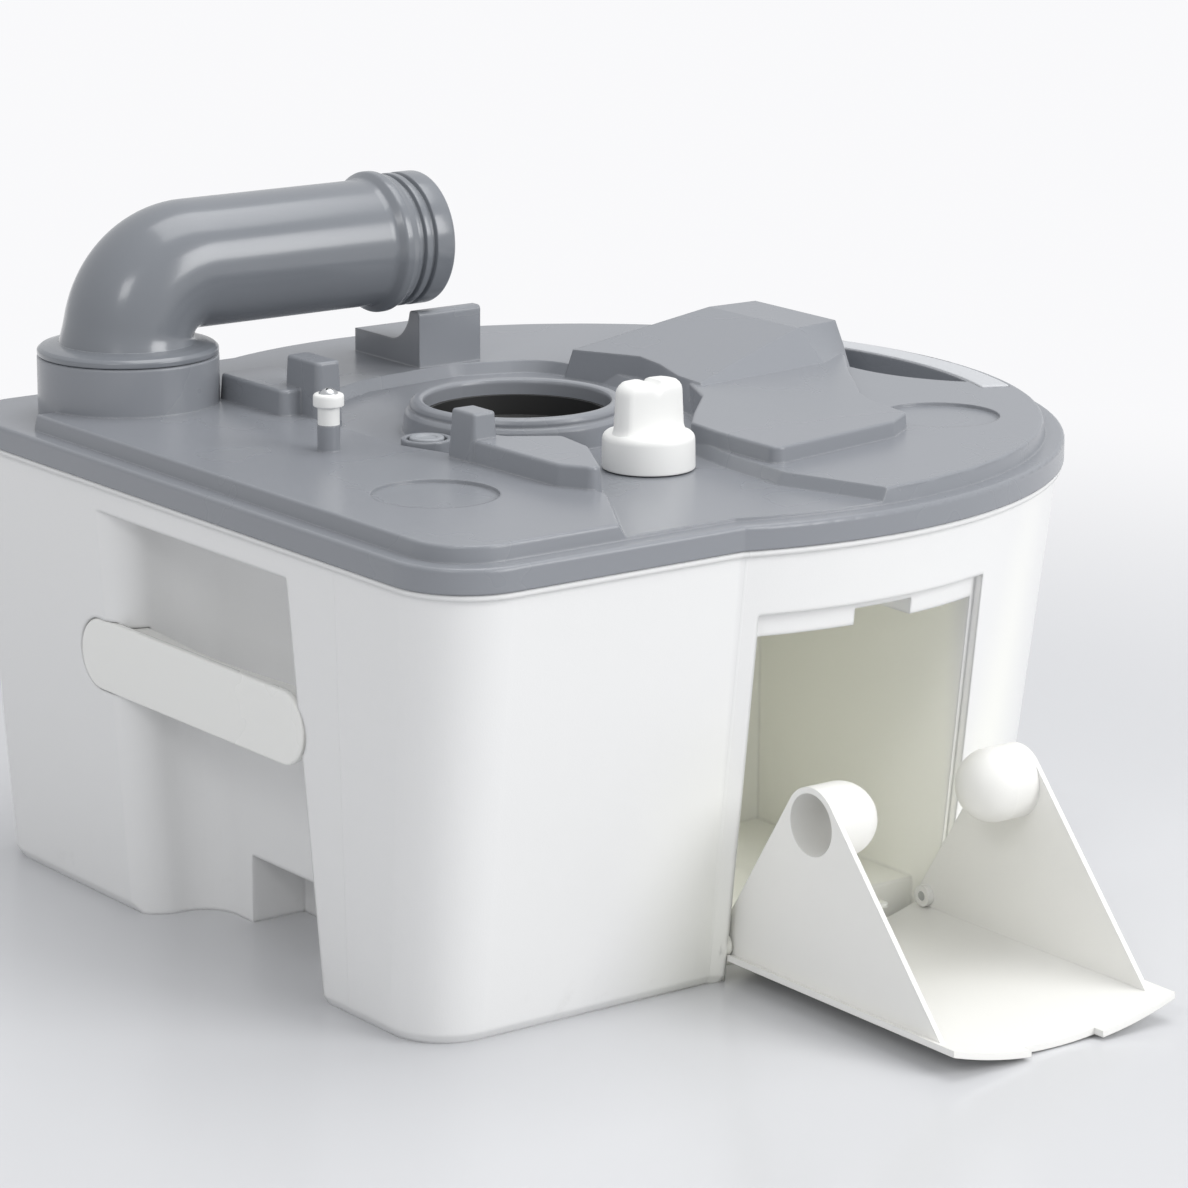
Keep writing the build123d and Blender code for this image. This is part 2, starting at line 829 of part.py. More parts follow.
for side in (-1, 1):
    face_y = cheek_outer_y if side > 0 else cheek_thickness - cheek_outer_y
    plate = Pos(0, face_y, 0) * extrude(cheek_plate(), cheek_thickness)
    inner_y = side * (cheek_outer_y - cheek_thickness)
    dome_y = inner_y - side * dome_straight
    dome = side_rod(tip_x, tip_z, inner_y + side * 0.5, dome_y, cheek_tip_radius)
    dome += Pos(tip_x, dome_y, tip_z) * Sphere(cheek_tip_radius)
    bore = side_rod(tip_x, tip_z, side * (cheek_outer_y + 3), dome_y, dome_bore)
    bore += Pos(tip_x, dome_y, tip_z) * Sphere(dome_bore)
    ear_pad = side_rod(
        hinge_x, hinge_z, inner_y + side * 0.5, inner_y - side * 3.0, cheek_ear_radius - 1.0
    )
    flap = flap + plate + dome + ear_pad - bore
rib_points = [
    (hinge_x - 24, cheek_base_z - 6),
    (hinge_x - 24, cheek_base_z + 9),
    (hinge_x - 48, cheek_base_z - 6),
]
rib_face = Plane.XZ * make_face(Polyline(*rib_points, close=True))
flap = flap + Pos(0, 30, 0) * extrude(rib_face, 2.0)
hinge_pins = Part()
for side in (-1, 1):
    pin_y0 = side * (cheek_outer_y - cheek_thickness - 3.0)
    pin_y1 = side * (room_half_width + hinge_boss_depth - 1.7)
    flap = flap - side_rod(
        hinge_x, hinge_z, pin_y0 - side * 1, side * 60, hinge_pin_radius + hinge_pin_fit
    )
    hinge_pins += side_rod(hinge_x, hinge_z, pin_y0, pin_y1, hinge_pin_radius)

# Spout
spout_seat = collar_top + spout_seat_gap
bend_start = spout_axis_z - spout_bend
bend_end_y = spout_y - spout_bend
spout_path = Curve() + [
    Line((spout_x, spout_y, spigot_foot), (spout_x, spout_y, bend_start)),
    ThreePointArc(
        (spout_x, spout_y, bend_start),
        (
            spout_x,
            spout_y - spout_bend * (1 - cos(radians(45))),
            bend_start + spout_bend * sin(radians(45)),
        ),
        (spout_x, bend_end_y, spout_axis_z),
    ),
    Line((spout_x, bend_end_y, spout_axis_z), (spout_x, spout_mouth_y, spout_axis_z)),
]
spout_plane = Plane((spout_x, spout_y, spigot_foot))
spout_solid = sweep(spout_plane * Circle(spout_radius), path=spout_path)
spout_bore = sweep(spout_plane * Circle(spout_radius - spout_wall), path=spout_path)
spigot_radius = collar_bore - spigot_fit
spout_flange = revolved(
    spout_x,
    spout_y,
    [
        (spout_radius - 1, spigot_foot),
        (spigot_radius, spigot_foot),
        (spigot_radius, spout_seat),
        (collar_radius - 0.7, spout_seat),
        (collar_radius, spout_seat + 0.7),
        (collar_radius, spout_seat + 2.2),
        (collar_radius - 0.8, spout_seat + 3.4),
        (collar_radius - 4.5, spout_seat + 4.4),
        (spout_radius + 2.0, spout_seat + 5.6),
        (spout_radius, spout_seat + 8.0),
        (spout_radius - 1, spout_seat + 8.0),
    ],
)


def pipe_ring(y0, y1, radius):
    """Disc round the spout's level arm, from y0 to y1."""
    return side_rod(spout_x, spout_axis_z, y0, y1, radius)


bead_face = make_face(
    Curve()
    + [
        Line((spout_radius - 1, -bead_half_length), (spout_radius - 0.2, -bead_half_length)),
        ThreePointArc(
            (spout_radius - 0.2, -bead_half_length),
            (bead_radius, 0),
            (spout_radius - 0.2, bead_half_length),
        ),
        Line((spout_radius - 0.2, bead_half_length), (spout_radius - 1, bead_half_length)),
        Line((spout_radius - 1, bead_half_length), (spout_radius - 1, -bead_half_length)),
    ]
)
bead = revolve(bead_face, Axis.Y)
bead = Pos(spout_x, bead_centre_y, spout_axis_z) * bead
mouth = pipe_ring(spout_mouth_y, bead_centre_y - 4, thread_radius)
mouth_edge = mouth.edges().filter_by(GeomType.CIRCLE).sort_by(Axis.Y)[0]
mouth = fillet(mouth_edge, 1.2)
for groove_y in thread_grooves:
    half = thread_groove_width / 2
    mouth = mouth - (
        pipe_ring(groove_y - half, groove_y + half, thread_radius + 2)
        - pipe_ring(groove_y - half, groove_y + half, thread_root)
    )
pour_spout = spout_solid + spout_flange + bead + mouth - spout_bore
ring_groove_z = collar_top - 8.0
clip_groove_z = collar_foot - 0.3 - spout_clip_half
pour_spout = pour_spout - tube(
    spout_x,
    spout_y,
    ring_groove_z - ring_cord,
    ring_groove_z + ring_cord,
    collar_bore + 2,
    collar_bore - 2 * ring_cord + 0.1,
)
pour_spout = pour_spout - tube(
    spout_x,
    spout_y,
    clip_groove_z - spout_clip_half - 0.1,
    clip_groove_z + spout_clip_half + 0.1,
    collar_bore + 2,
    spigot_radius - 1.5,
)
spout_ring_seal = Pos(spout_x, spout_y, ring_groove_z) * Torus(
    collar_bore - ring_cord, ring_cord - 0.08
)
spout_clip = tube(
    spout_x,
    spout_y,
    clip_groove_z - spout_clip_half,
    clip_groove_z + spout_clip_half,
    collar_bore + 3.4,
    spigot_radius - 1.45,
)
spout_clip = spout_clip - box_between(
    spout_x + 20, spout_x + 45, spout_y - 4, spout_y + 4, clip_groove_z - 5, clip_groove_z + 5
)

# Valve pieces
seal_clamp_top = pan_under
seal_clamp_foot = blade_top + 0.6
valve_lip_seal = revolved(
    0,
    valve_y,
    [
        (seal_radius, blade_top + 0.3),
        (seal_radius + 1.6, blade_top + 0.2),
        (valve_radius - 1.2, seal_clamp_foot - 0.3),
        (valve_radius - 0.2, seal_clamp_foot),
        (valve_radius - 0.2, sleeve_top),
        (sleeve_radius, sleeve_top),
        (sleeve_radius, sleeve_foot),
        (seal_radius + 0.4, sleeve_foot - 1.5),
        (seal_radius, sleeve_foot - 2.5),
    ],
)
seal_clamp_ring = tube(
    0, valve_y, seal_clamp_foot, pan_under, rim_radius + 1.0, valve_radius - 0.1
)
clamp_screws = Part()
for turn in (45, 135, 225, 315):
    screw_x = (valve_radius + rim_radius) / 2 * cos(radians(turn))
    screw_y = valve_y + (valve_radius + rim_radius) / 2 * sin(radians(turn))
    seal_clamp_ring = seal_clamp_ring - rod(screw_x, screw_y, below_cover, pan_top + 5, 1.5)
    seal_clamp_ring = seal_clamp_ring - rod(
        screw_x, screw_y, below_cover, seal_clamp_foot + 1.5, 2.8
    )
    top_cover = top_cover - rod(screw_x, screw_y, below_cover, pan_top + 6, 1.3)
    screw = rod(screw_x, screw_y, seal_clamp_foot + 1.0, pan_top + 5, 1.3)
    screw += rod(screw_x, screw_y, seal_clamp_foot, seal_clamp_foot + 1.5, 2.5)
    clamp_screws += screw

blade_foot = blade_top - blade_thickness
valve_blade = rod(0, valve_y, blade_foot, blade_top, blade_radius)
arm_points = [
    (pivot_x, valve_y - 10),
    (-30, valve_y - 22),
    (-30, valve_y + 22),
    (pivot_x, valve_y + 10),
]
valve_blade += prism(arm_points, blade_foot, blade_top)
valve_blade += rod(pivot_x, valve_y, blade_foot - 1.2, blade_top + 1.1, 11.0)
valve_blade = valve_blade - rod(pivot_x, valve_y, below_cover, above_cover, shaft_radius)
shaft_foot = blade_foot - 1.2
valve_shaft = rod(pivot_x, valve_y, shaft_foot, knob_shoulder_z - 3, shaft_radius)
valve_shaft = valve_shaft - rod(pivot_x, valve_y, shaft_foot - 1, shaft_foot + 12, screw_shank_radius)
shaft_screw = rod(pivot_x, valve_y, shaft_foot - 2.2, shaft_foot, 6.5)
shaft_screw += rod(pivot_x, valve_y, shaft_foot, shaft_foot + 11, screw_shank_radius)
shaft_seal = Pos(pivot_x, valve_y, seal_groove_z) * Torus(shaft_radius + 1.06, 1.0)

knob_foot = pan_top + knob_gap
valve_knob = revolved(
    pivot_x,
    valve_y,
    [
        (0, knob_foot),
        (knob_radius - 0.8, knob_foot),
        (knob_radius, knob_foot + 1.0),
        (knob_radius, knob_foot + 7.5),
        (knob_radius - 1.4, knob_foot + 12.0),
        (knob_radius - 3.6, knob_shoulder_z - 1.2),
        (knob_radius - 5.6, knob_shoulder_z),
        (0, knob_shoulder_z),
    ],
)
grip_face = SlotOverall(knob_grip_length, knob_grip_width, rotation=90)
knob_grip = Pos(pivot_x, valve_y, knob_shoulder_z - 1) * extrude(
    grip_face, knob_top - knob_shoulder_z + 1
)
grip_top_edges = knob_grip.faces().sort_by(Axis.Z)[-1].edges()
knob_grip = fillet(grip_top_edges, 3.0)
knob_notch = Pos(pivot_x, valve_y, knob_top + 1.6) * Rot(0, 90, 0) * Cylinder(4.0, 40)
valve_knob = valve_knob + knob_grip - knob_notch
valve_knob = valve_knob - tube(
    pivot_x, valve_y, knob_foot - 1, knob_foot + 10, knob_radius - 2.6, shaft_radius + 2.5
)
valve_knob = valve_knob - rod(pivot_x, valve_y, knob_foot - 1, knob_shoulder_z - 3, shaft_radius)

# Latch stud
latch_stud = revolved(
    stud_x,
    stud_y,
    [
        (screw_shank_radius + 0.1, stud_post_top),
        (stud_stem_radius, stud_post_top),
        (stud_stem_radius, stud_head_bottom),
        (stud_head_radius - 0.4, stud_head_bottom),
        (stud_head_radius, stud_head_bottom + 0.5),
        (stud_head_radius, stud_head_top - 1.4),
        (stud_head_radius - 1.2, stud_head_top),
        (screw_shank_radius + 0.1, stud_head_top),
    ],
)
stud_screw = rod(stud_x, stud_y, deck_top - 2.3, stud_head_top + 0.1, screw_shank_radius)
screw_dome = Pos(stud_x, stud_y, stud_head_top - 2.6) * Sphere(4.9)
screw_dome = screw_dome & rod(stud_x, stud_y, stud_head_top, above_cover, 4.2)
slot_long = Box(4.6, 0.9, 2.4)
slot_cross = Box(0.9, 4.6, 2.4)
screw_slot = Pos(stud_x, stud_y, stud_head_top + 2.4) * Rot(0, 0, 30) * (slot_long + slot_cross)
stud_screw = stud_screw + screw_dome - screw_slot

# Vent valve
button_foot = vent_button_top - vent_button_height
vent_rod_foot = vent_boss_foot - 4.6
vent_plunger = rod(vent_x, vent_y, button_foot, vent_button_top, vent_button_radius)
plunger_edge = vent_plunger.faces().sort_by(Axis.Z)[-1].edges()
vent_plunger = fillet(plunger_edge, 0.9)
vent_plunger += rod(vent_x, vent_y, vent_rod_foot, button_foot, vent_rod_radius)
vent_plunger += rod(vent_x, vent_y, vent_rod_foot, vent_rod_foot + 1.6, vent_rod_radius + 2.4)
vent_seal = tube(
    vent_x, vent_y, vent_rod_foot + 1.6, vent_boss_foot - 0.3, vent_boss_radius - 1.0, vent_rod_radius
)
spring_foot = vent_well_floor + vent_spring_wire + 0.05
spring_head = button_foot - vent_spring_wire - 0.05
spring_rise = spring_head - spring_foot
spring_mid = vent_rod_radius + 1.7
spring_path = Helix(spring_rise / vent_spring_turns, spring_rise, spring_mid)
spring_wire = Plane(spring_path @ 0, z_dir=spring_path % 0) * Circle(vent_spring_wire)
vent_spring = Pos(vent_x, vent_y, spring_foot) * sweep(spring_wire, path=spring_path)

# Write the pieces
pieces = {
    "tank_body": tank_body,
    "cover_gasket": cover_gasket,
    "top_cover": top_cover,
    "front_grip": front_grip,
    "rear_grip_bar": grip_bar,
    "rear_grip_cover": grip_cover,
    "rear_grip_screws": grip_screws,
    "paper_flap": flap,
    "flap_hinge_pins": hinge_pins,
    "pour_spout": pour_spout,
    "spout_ring_seal": spout_ring_seal,
    "spout_retaining_ring": spout_clip,
    "valve_knob": valve_knob,
    "valve_shaft": valve_shaft,
    "valve_shaft_screw": shaft_screw,
    "valve_shaft_seal": shaft_seal,
    "valve_blade": valve_blade,
    "valve_lip_seal": valve_lip_seal,
    "seal_clamp_ring": seal_clamp_ring,
    "clamp_ring_screws": clamp_screws,
    "latch_stud": latch_stud,
    "latch_stud_screw": stud_screw,
    "vent_plunger": vent_plunger,
    "vent_seal": vent_seal,
    "vent_spring": vent_spring,
}
for name, shape in pieces.items():
    solids = shape.solids()
    whole = solids[0] if len(solids) == 1 else Compound(children=list(solids))
    export_step(whole, f"parts/{name}.step")
    print(name, len(solids), "solids,", round(sum(s.volume for s in solids)), "mm3")
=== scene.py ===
"""Looks for the holding tank of a portable chemical toilet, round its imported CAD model."""

import json
from math import cos, pi, radians, sin, sqrt

import bmesh
import bpy
from mathutils import Matrix, Vector


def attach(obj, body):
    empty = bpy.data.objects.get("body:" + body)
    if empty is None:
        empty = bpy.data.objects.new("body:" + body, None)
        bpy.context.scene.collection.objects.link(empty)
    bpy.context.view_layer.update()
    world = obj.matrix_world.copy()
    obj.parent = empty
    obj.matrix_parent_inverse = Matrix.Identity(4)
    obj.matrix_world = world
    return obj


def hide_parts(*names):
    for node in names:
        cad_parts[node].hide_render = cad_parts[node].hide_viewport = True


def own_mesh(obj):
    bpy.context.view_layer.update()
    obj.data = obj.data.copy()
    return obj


bl_info = {
    "name": "Portable toilet holding tank",
    "version": (1, 0, 0),
    "blender": (4, 5, 0),
    "location": "View3D > Sidebar > Tank",
    "description": "Finishes and models the pieces of a portable toilet's holding tank",
    "category": "Object",
}

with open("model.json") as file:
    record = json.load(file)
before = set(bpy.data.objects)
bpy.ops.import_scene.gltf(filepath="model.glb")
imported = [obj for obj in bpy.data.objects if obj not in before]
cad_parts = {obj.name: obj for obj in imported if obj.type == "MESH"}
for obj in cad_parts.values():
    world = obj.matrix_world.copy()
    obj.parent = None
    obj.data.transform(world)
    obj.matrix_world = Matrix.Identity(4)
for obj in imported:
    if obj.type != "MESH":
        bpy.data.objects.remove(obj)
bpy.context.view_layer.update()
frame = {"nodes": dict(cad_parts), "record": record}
MM = 0.001
UP = Vector((0, 0, 1))
SIDEWAYS = Vector((1, 0, 0))

# Where the upright axes of the round pieces stand, in millimetres
SPOUT_AXIS = (129.8, 155.8)
KNOB_AXIS = (-93.0, 39.8)
STUD_AXIS = (-7.0, 141.7)
VENT_AXIS = (-17.0, 99.0)

STUDIO_WHITE = (0.95, 0.95, 0.965, 1)
# Pale grey that edges blend towards: a painted edge highlight along with wear
EDGE_SHEEN_AND_WEAR = (0.9, 0.9, 0.9, 1)
SCUFF_COLOUR = (0.42, 0.41, 0.38, 1)
ZINC_COLOUR = (0.62, 0.63, 0.64, 1)
BLADE_BLACK = (0.012, 0.012, 0.013, 1)
RUBBER_BLACK = (0.018, 0.018, 0.018, 1)


def colour_setting(label, meaning, red, green, blue):
    """Colour property with its description."""
    return bpy.props.FloatVectorProperty(
        name=label, description=meaning, subtype="COLOR", size=4, min=0, max=1,
        default=(red, green, blue, 1),
    )


# Settings that a user would change
class FinishSettings(bpy.types.PropertyGroup):
    """Colours of the tank's materials"""

    tank_colour: colour_setting("Tank", "Colour of the blown tank", 0.83, 0.83, 0.825)
    # Painted light: the paler, warmer tint that light gives the inside of the paper compartment,
    # not a colour of its own
    room_light_tint: colour_setting(
        "Compartment light", "Painted light tint inside the paper compartment", 0.97, 0.97, 0.90
    )
    cover_colour: colour_setting("Cover", "Colour of the grey cover", 0.250, 0.262, 0.285)
    spout_colour: colour_setting("Spout", "Colour of the glossier spout", 0.195, 0.208, 0.228)
    pale_colour: colour_setting(
        "Pale grey", "Colour of the front grip and the clamp rings", 0.42, 0.435, 0.46
    )
    cream_colour: colour_setting("Grip", "Colour of the rear grip", 0.87, 0.87, 0.84)
    flap_colour: colour_setting("Flap", "Colour of the paper flap", 0.86, 0.855, 0.825)
    knob_colour: colour_setting(
        "Knob", "Colour of the valve knob and the latch stud", 0.86, 0.86, 0.85
    )
    floor_colour: colour_setting("Floor", "Colour of the studio floor", 0.62, 0.625, 0.64)


class StageSettings(bpy.types.PropertyGroup):
    """Place and lens of the camera"""

    camera_place: bpy.props.FloatVectorProperty(
        name="Camera place", description="Where the camera stands", subtype="TRANSLATION",
        unit="LENGTH", size=3, default=(-1.5360, 1.1539, 0.6057),
    )
    camera_aim: bpy.props.FloatVectorProperty(
        name="Camera aim", description="Direction in which the camera looks",
        subtype="DIRECTION", size=3, default=(0.7747, -0.5831, -0.2446),
    )
    camera_roll: bpy.props.FloatProperty(
        name="Camera roll", description="Turn about the line of sight", subtype="ANGLE",
        default=0.005,
    )
    camera_lens: bpy.props.FloatProperty(
        name="Lens", description="Focal length on a 36 mm frame, in millimetres",
        default=136.13, min=10,
    )


# Node helpers
def feed(tree, source, target):
    """Wires a socket to an input, or gives the input a value."""
    if isinstance(source, bpy.types.NodeSocket):
        tree.links.new(source, target)
    else:
        target.default_value = source


def put(tree, kind, **values):
    """Adds a node; values feed its sockets, or its own settings where it has no such socket."""
    made = tree.nodes.new(kind)
    for name, value in values.items():
        label = name.replace("_", " ")
        if label in made.inputs:
            feed(tree, value, made.inputs[label])
        else:
            setattr(made, name, value)
    return made


def maths(tree, operation, *terms):
    """Result of a math node, whose terms are sockets or numbers."""
    made = put(tree, "ShaderNodeMath", operation=operation)
    for term, target in zip(terms, made.inputs):
        feed(tree, term, target)
    return made.outputs[0]


def both(tree, first, second):
    """Mask where two masks meet."""
    return maths(tree, "MULTIPLY", first, second)


def step_mask(tree, source, low, high):
    """Mask that rises softly from nothing at low to one at high."""
    rise = put(
        tree, "ShaderNodeMapRange", interpolation_type="SMOOTHSTEP", Value=source,
        From_Min=low, From_Max=high,
    )
    return rise.outputs["Result"]


def stripe(tree, source, at, half):
    """Mask that is one within half of a value and falls softly to nothing."""
    spread = 2.2
    away = maths(tree, "ABSOLUTE", maths(tree, "SUBTRACT", source, at))
    return step_mask(tree, away, half * spread, half)


def blended(tree, share, first, second):
    """Colour that goes from the first to the second as the share rises."""
    mix = put(tree, "ShaderNodeMix", data_type="RGBA", Factor=share, A=first, B=second)
    return mix.outputs["Result"]


def new_group(name, inputs, outputs):
    """Node group with its sockets, and its two end nodes."""
    tree = bpy.data.node_groups.new(name, "ShaderNodeTree")
    for label, kind, value in inputs:
        socket = tree.interface.new_socket(name=label, in_out="INPUT", socket_type=kind)
        socket.default_value = value
    for label, kind in outputs:
        tree.interface.new_socket(name=label, in_out="OUTPUT", socket_type=kind)
    return tree, tree.nodes.new("NodeGroupInput"), tree.nodes.new("NodeGroupOutput")


def moulded_surface_group():
    """Moulded plastic: soft edges, fine grain, slight mottle and paler edges, a painted edge
    highlight along with edge wear.
    """
    name = "moulded_surface"
    if name in bpy.data.node_groups:
        return bpy.data.node_groups[name]
    tree, ends, out = new_group(
        name,
        [
            ("Colour", "NodeSocketColor", (0.8, 0.8, 0.8, 1)),
            ("Edge Radius", "NodeSocketFloat", 0.001),
            ("Grain Scale", "NodeSocketFloat", 1400.0),
            ("Grain Height", "NodeSocketFloat", 0.1),
            ("Ripple Height", "NodeSocketFloat", 0.1),
            ("Mottle", "NodeSocketFloat", 0.05),
            ("Roughness", "NodeSocketFloat", 0.4),
            ("Edge Wear", "NodeSocketFloat", 0.1),
        ],
        [
            ("Colour", "NodeSocketColor"),
            ("Roughness", "NodeSocketFloat"),
            ("Normal", "NodeSocketVector"),
        ],
    )
    given = ends.outputs
    flat_enough, full_edge = 0.985, 0.86
    rub_change = 0.06
    grain_depth, ripple_depth = 0.0001, 0.001

    place = put(tree, "ShaderNodeTexCoord").outputs["Object"]
    bevel = put(tree, "ShaderNodeBevel", samples=6, Radius=given["Edge Radius"])
    soft = bevel.outputs["Normal"]
    flat = put(tree, "ShaderNodeNewGeometry").outputs["Normal"]
    meet = put(tree, "ShaderNodeVectorMath", operation="DOT_PRODUCT")
    feed(tree, soft, meet.inputs[0])
    feed(tree, flat, meet.inputs[1])
    edge = put(
        tree, "ShaderNodeMapRange", Value=meet.outputs["Value"], From_Min=flat_enough,
        From_Max=full_edge,
    )

    broad = put(
        tree, "ShaderNodeTexNoise", Vector=place, Scale=9.0, Detail=4.0, Roughness=0.55
    )
    fine = put(
        tree, "ShaderNodeTexNoise", Vector=place, Scale=given["Grain Scale"], Detail=2.0
    )
    ripple = put(tree, "ShaderNodeTexNoise", Vector=place, Scale=14.0, Detail=1.0)

    shade = put(tree, "ShaderNodeMapRange", Value=broad.outputs["Fac"], To_Min=-1.0)
    shade = shade.outputs["Result"]
    tint = put(tree, "ShaderNodeVectorMath", operation="SCALE")
    feed(tree, given["Colour"], tint.inputs[0])
    feed(tree, maths(tree, "MULTIPLY_ADD", shade, given["Mottle"], 1.0), tint.inputs["Scale"])
    # Painted edge highlight along with wear: edges blend towards a pale grey
    edge_sheen_and_wear = both(tree, edge.outputs["Result"], given["Edge Wear"])
    feed(tree, blended(tree, edge_sheen_and_wear, tint.outputs[0], EDGE_SHEEN_AND_WEAR), out.inputs["Colour"])

    rub = maths(tree, "MULTIPLY_ADD", shade, rub_change, given["Roughness"])
    feed(tree, rub, out.inputs["Roughness"])

    wave = put(
        tree, "ShaderNodeBump", Distance=ripple_depth, Strength=given["Ripple Height"],
        Height=ripple.outputs["Fac"], Normal=soft,
    )
    grain = put(
        tree, "ShaderNodeBump", Distance=grain_depth, Strength=given["Grain Height"],
        Height=fine.outputs["Fac"], Normal=wave.outputs["Normal"],
    )
    feed(tree, grain.outputs["Normal"], out.inputs["Normal"])
    return tree


def tank_marks_and_light_group():
    """Marks of the blown tank: a painted light tint, paler and warmer, inside the paper
    compartment, moulding seams and faint scuffs near the floor.
    """
    name = "tank_marks"
    if name in bpy.data.node_groups:
        return bpy.data.node_groups[name]
    tree, ends, out = new_group(
        name,
        [
            ("Colour", "NodeSocketColor", (0.8, 0.8, 0.8, 1)),
            ("Room Light Tint", "NodeSocketColor", (0.8, 0.8, 0.7, 1)),
            ("Scuff Colour", "NodeSocketColor", (0.5, 0.5, 0.5, 1)),
            ("Seam Height", "NodeSocketFloat", 0.3),
            ("Normal", "NodeSocketVector", (0, 0, 0)),
        ],
        [("Colour", "NodeSocketColor"), ("Normal", "NodeSocketVector")],
    )
    given = ends.outputs
    scuff_share, seam_depth = 0.14, 0.0004

    place = put(tree, "ShaderNodeTexCoord").outputs["Object"]
    parts = put(tree, "ShaderNodeSeparateXYZ")
    feed(tree, place, parts.inputs[0])
    x, y, z = parts.outputs

    # Painted light: inside the paper compartment the colour is tinted paler and warmer, standing in
    # for the light that falls there
    room_light_mask = both(tree, stripe(tree, y, 0.0, 0.0572), step_mask(tree, x, -0.187, -0.170))
    room_light_mask = both(tree, room_light_mask, stripe(tree, z, 0.08, 0.0755))
    room_light_mask = both(tree, room_light_mask, stripe(tree, x, -0.10, 0.072))

    rear = step_mask(tree, y, 0.196, 0.200)
    near_side = step_mask(tree, x, -0.150, -0.160)
    rear_seam = both(tree, stripe(tree, x, -0.1151, 0.00035), rear)
    side_seam = both(tree, stripe(tree, y, 0.0665, 0.0003), near_side)
    seam = maths(tree, "MAXIMUM", rear_seam, side_seam)

    streaks = put(
        tree, "ShaderNodeTexNoise", Vector=place, Scale=55.0, Detail=5.0, Roughness=0.65
    )
    foot = step_mask(tree, z, 0.03, 0.001)
    scuff = both(tree, step_mask(tree, streaks.outputs["Fac"], 0.56, 0.74), foot)

    room_lit = blended(tree, room_light_mask, given["Colour"], given["Room Light Tint"])
    marked = blended(tree, both(tree, scuff, scuff_share), room_lit, given["Scuff Colour"])
    feed(tree, marked, out.inputs["Colour"])
    line = put(
        tree, "ShaderNodeBump", Distance=seam_depth, Strength=given["Seam Height"],
        Height=seam, Normal=given["Normal"],
    )
    feed(tree, line.outputs["Normal"], out.inputs["Normal"])
    return tree


def surfaced(name, **values):
    """Material whose shader takes the moulded surface; values go to that surface's sockets."""
    material = bpy.data.materials.new(name)
    material.use_nodes = True
    tree = material.node_tree
    shader = tree.nodes["Principled BSDF"]
    surface = tree.nodes.new("ShaderNodeGroup")
    surface.node_tree = moulded_surface_group()
    for label, value in values.items():
        surface.inputs[label.replace("_", " ")].default_value = value
    feed(tree, surface.outputs["Colour"], shader.inputs["Base Color"])
    feed(tree, surface.outputs["Roughness"], shader.inputs["Roughness"])
    feed(tree, surface.outputs["Normal"], shader.inputs["Normal"])
    return material


def plastic(name, colour, roughness, coat=0.0, **values):
    """Moulded plastic, with a clear coat where it is glossier."""
    material = surfaced(name, Colour=colour, Roughness=roughness, **values)
    shader = material.node_tree.nodes["Principled BSDF"]
    shader.inputs["IOR"].default_value = 1.5
    shader.inputs["Coat Weight"].default_value = coat
    shader.inputs["Coat Roughness"].default_value = 0.12
    return material


def zinc(name):
    """Zinc plated steel, with a fine brushed grain."""
    material = surfaced(
        name, Colour=ZINC_COLOUR, Roughness=0.28, Grain_Scale=3000.0, Grain_Height=0.3,
        Edge_Radius=0.0002,
    )
    material.node_tree.nodes["Principled BSDF"].inputs["Metallic"].default_value = 1.0
    return material


def mark_tank_and_light(material, room_light_tint):
    """Adds the tank's seams, scuffs and the painted light tint of the compartment between the
    moulded surface and the shader.
    """
    tree = material.node_tree
    shader = tree.nodes["Principled BSDF"]
    surface = next(node for node in tree.nodes if node.type == "GROUP")
    marks_and_light = tree.nodes.new("ShaderNodeGroup")
    marks_and_light.node_tree = tank_marks_and_light_group()
    marks_and_light.inputs["Room Light Tint"].default_value = room_light_tint
    marks_and_light.inputs["Scuff Colour"].default_value = SCUFF_COLOUR
    feed(tree, surface.outputs["Colour"], marks_and_light.inputs["Colour"])
    feed(tree, surface.outputs["Normal"], marks_and_light.inputs["Normal"])
    feed(tree, marks_and_light.outputs["Colour"], shader.inputs["Base Color"])
    feed(tree, marks_and_light.outputs["Normal"], shader.inputs["Normal"])


